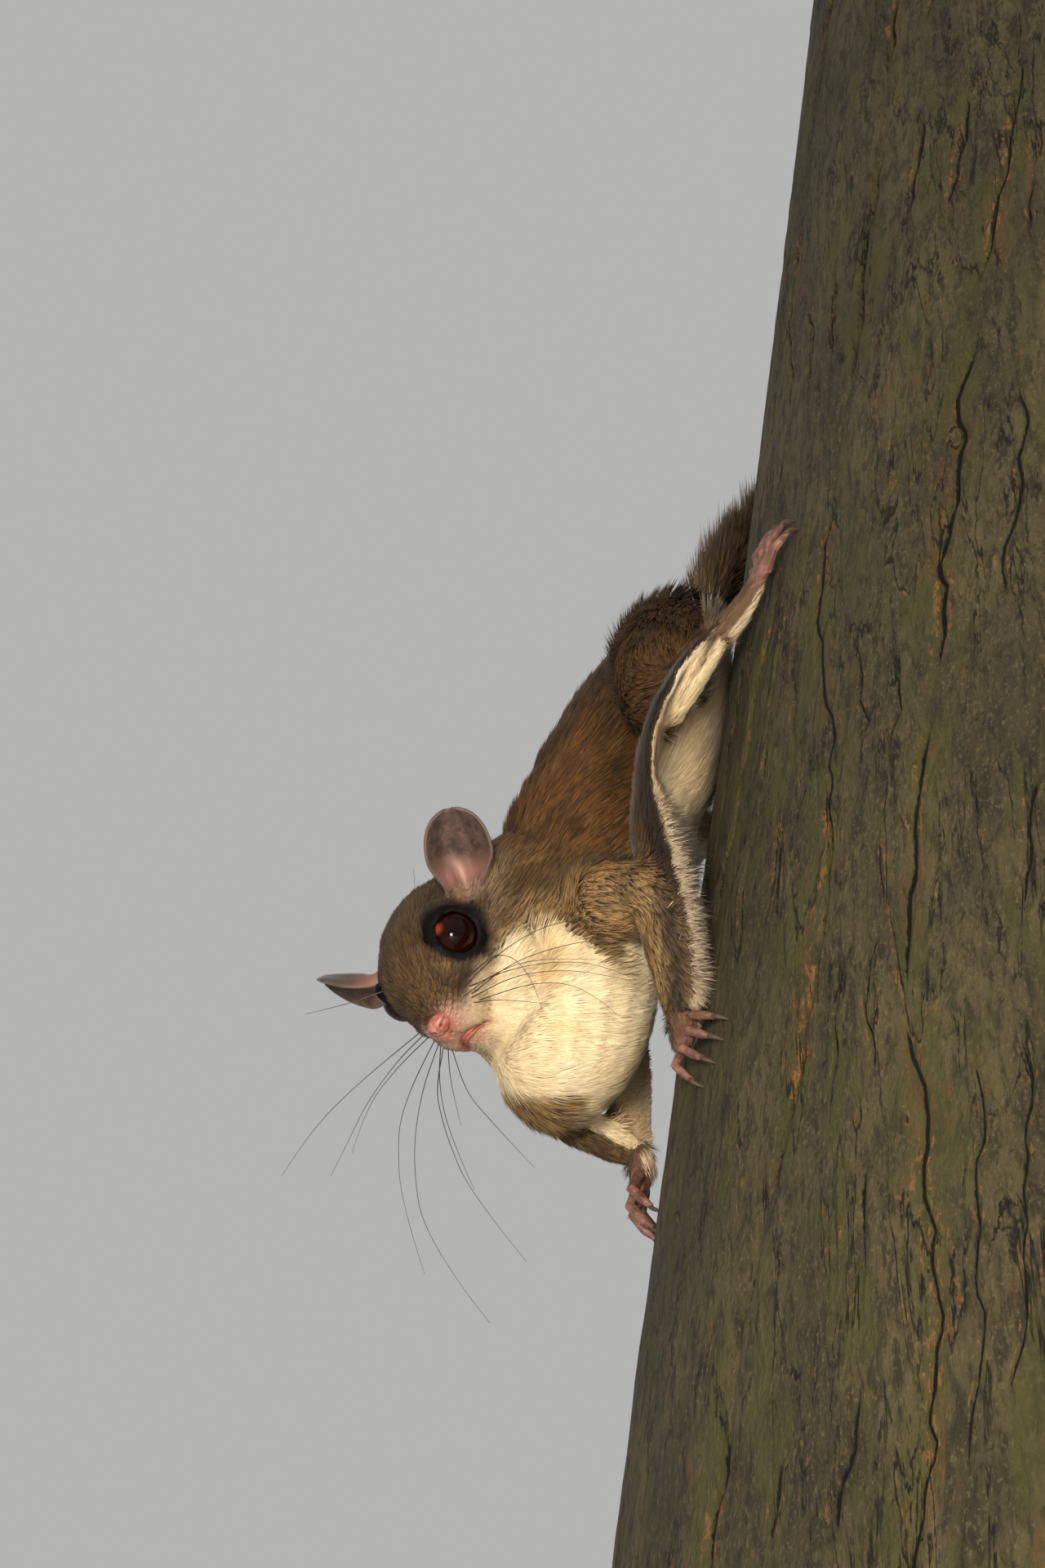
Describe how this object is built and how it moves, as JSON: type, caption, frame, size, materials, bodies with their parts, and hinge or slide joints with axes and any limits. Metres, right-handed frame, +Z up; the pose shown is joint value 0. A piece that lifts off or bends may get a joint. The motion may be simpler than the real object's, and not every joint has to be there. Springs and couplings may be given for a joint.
{
  "type": "flying squirrel model",
  "caption": "Still life-size flying squirrel clinging head down to a short upright log, with its head raised and its tail along the bark, on rods over a flat display base.",
  "frame": {"origin": "centre of the underside of the display base", "axes": "+Z up from the base, +X towards the side that the log leans to, away from the animal's back, +Y towards the animal's right side and away from the camera"},
  "size_m": [0.2731, 0.176, 0.525],
  "materials": {
    "fur_back": "soft grey-brown fur",
    "fur_underside": "soft cream fur",
    "bare_skin": "thin bare skin",
    "eye": "wet gloss",
    "bark": "rough bark",
    "stand": "matte black"
  },
  "bodies": {
    "root": {"head": "fur_back", "neck": "fur_back", "chest": "fur_back", "abdomen": "fur_back", "foreleg_left": "fur_back", "foreleg_right": "fur_back", "hindleg_left": "fur_back", "hindleg_right": "fur_back", "patagium_left": "fur_underside", "patagium_right": "fur_underside", "tail": "fur_back", "forefoot_left": "bare_skin", "forefoot_right": "bare_skin", "hindfoot_left": "bare_skin", "hindfoot_right": "bare_skin", "ear_left": "bare_skin", "ear_right": "bare_skin", "nose": "bare_skin", "eye_left": "eye", "eye_right": "eye", "perch_log": "bark", "stand_base": "stand", "stand_rod_left": "stand", "stand_rod_right": "stand"}
  },
  "joints": []
}
